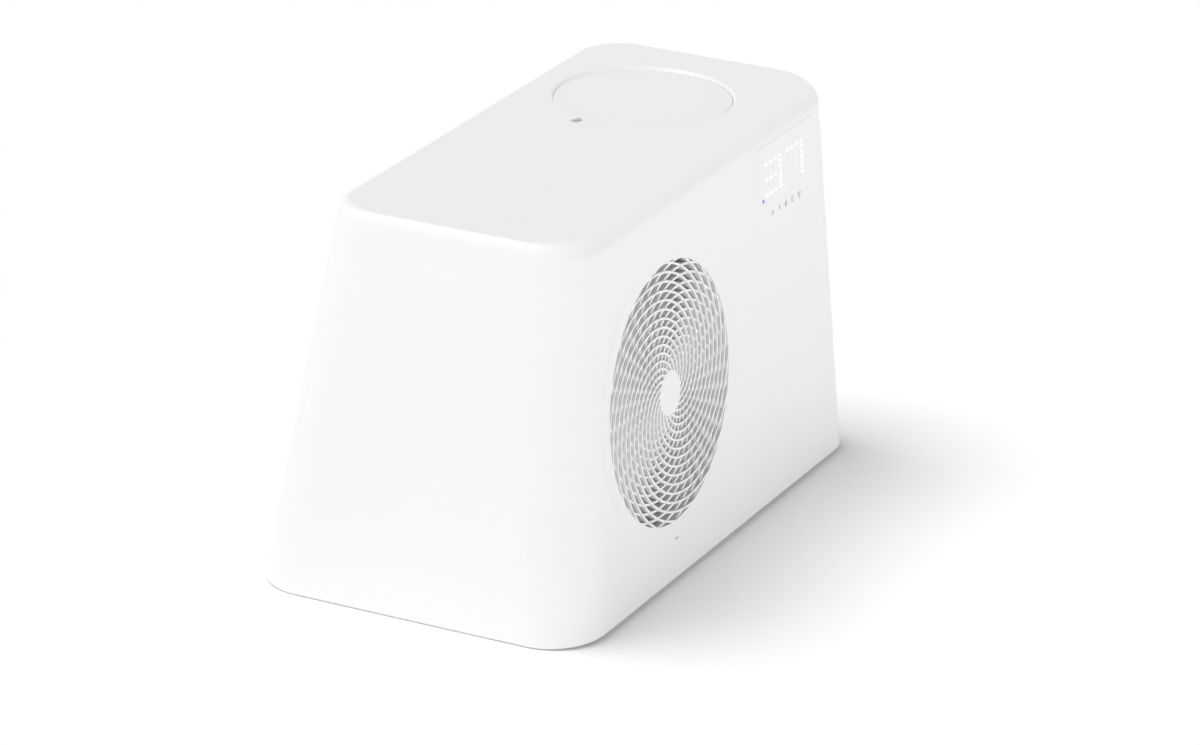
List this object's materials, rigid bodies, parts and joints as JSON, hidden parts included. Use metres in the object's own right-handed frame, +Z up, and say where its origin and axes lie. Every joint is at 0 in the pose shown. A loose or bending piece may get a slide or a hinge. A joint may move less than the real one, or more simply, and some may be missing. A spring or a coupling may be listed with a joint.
{
  "type": "ice bath chiller",
  "caption": "White moulded ice bath water chiller with a round spiral fan grille, a lift-off filter lid and a slanted front display.",
  "frame": {"origin": "on the floor, under the middle of the casing's foot", "axes": "+Z up, +X along the length towards the display end, -Y towards the front with the grille"},
  "size_m": [0.6718, 0.4159, 0.413],
  "materials": {
    "casing_plastic": "satin moulded white",
    "window_plastic": "glossy white window",
    "dark_plastic": "moulded black",
    "grey_plastic": "moulded grey",
    "rubber": "moulded rubber",
    "sheet_steel": "zinc-plated sheet",
    "screw_steel": "zinc-plated",
    "black_steel": "black enamel",
    "copper": "drawn copper tube",
    "fin_aluminium": "fin stock",
    "filter_paper": "pleated polyester",
    "hose": "reinforced hose",
    "board": "circuit board",
    "red_plastic": "moulded red"
  },
  "bodies": {
    "chiller": {"casing": "casing_plastic", "fan_grille": "casing_plastic", "grille_core": "casing_plastic", "grille_screws": "screw_steel", "display_window": "window_plastic", "display_board": "board", "lid_seal": "rubber", "base_tray": "sheet_steel", "base_screws": "screw_steel", "rubber_feet": "rubber", "port_plate": "grey_plastic", "water_inlet": "dark_plastic", "water_outlet": "dark_plastic", "drain_valve": "dark_plastic", "power_inlet": "dark_plastic", "fan_shroud": "grey_plastic", "fan_bracket": "sheet_steel", "fan_motor": "sheet_steel", "condenser_fins": "fin_aluminium", "condenser_tubes": "copper", "condenser_plates": "sheet_steel", "compressor": "black_steel", "compressor_mounts": "rubber", "terminal_cover": "dark_plastic", "accumulator": "black_steel", "filter_drier": "copper", "heat_exchanger": "grey_plastic", "exchanger_bands": "sheet_steel", "refrigerant_pipes": "copper", "filter_housing": "casing_plastic", "filter_bracket": "sheet_steel", "pump_body": "dark_plastic", "pump_motor": "sheet_steel", "pump_bracket": "sheet_steel", "water_hoses": "hose", "control_box": "grey_plastic", "control_cover": "grey_plastic", "wiring": "dark_plastic"},
    "fan": {"fan_rotor": "grey_plastic"},
    "impeller": {"pump_impeller": "grey_plastic"},
    "lid": {"top_lid": "casing_plastic"},
    "cartridge": {"filter_cartridge": "filter_paper"},
    "cap": {"filter_cap": "dark_plastic"},
    "rocker": {"power_rocker": "red_plastic"},
    "lever": {"drain_lever": "red_plastic"},
    "screen": {"intake_screen": "casing_plastic"}
  },
  "joints": [
    {"name": "fan_spin", "type": "hinge", "parent": "chiller", "child": "fan", "pos_m": [-0.1096, -0.143, 0.202], "axis": [0, -1, 0], "continuous": true},
    {"name": "impeller_spin", "type": "hinge", "parent": "chiller", "child": "impeller", "pos_m": [0.27, -0.12, 0.062], "axis": [0, 1, 0], "continuous": true},
    {"name": "lid_lift", "type": "slide", "parent": "chiller", "child": "lid", "axis": [0, 0, 1], "range_m": [0, 0.33]},
    {"name": "cartridge_lift", "type": "slide", "parent": "chiller", "child": "cartridge", "axis": [0, 0, 1], "range_m": [0, 0.297]},
    {"name": "cap_turn", "type": "hinge", "parent": "cartridge", "child": "cap", "pos_m": [0.1493, -0.0114, 0.372], "axis": [0, 0, 1], "range_deg": [0, 90]},
    {"name": "rocker_tilt", "type": "hinge", "parent": "chiller", "child": "rocker", "pos_m": [0.222, 0.15121, 0.20432], "axis": [-1, 0, 0], "range_deg": [0, 20]},
    {"name": "drain_turn", "type": "hinge", "parent": "chiller", "child": "lever", "pos_m": [0.222, 0.19404, 0.08084], "axis": [0, -0.1717, 0.9852], "range_deg": [-90, 0]},
    {"name": "screen_pull", "type": "slide", "parent": "chiller", "child": "screen", "axis": [0, 0.9852, 0.1717], "range_m": [0, 0.06]}
  ],
  "couplings": [
    {"joint": "cartridge_lift", "follows": "lid_lift", "ratio": 0.9}
  ]
}
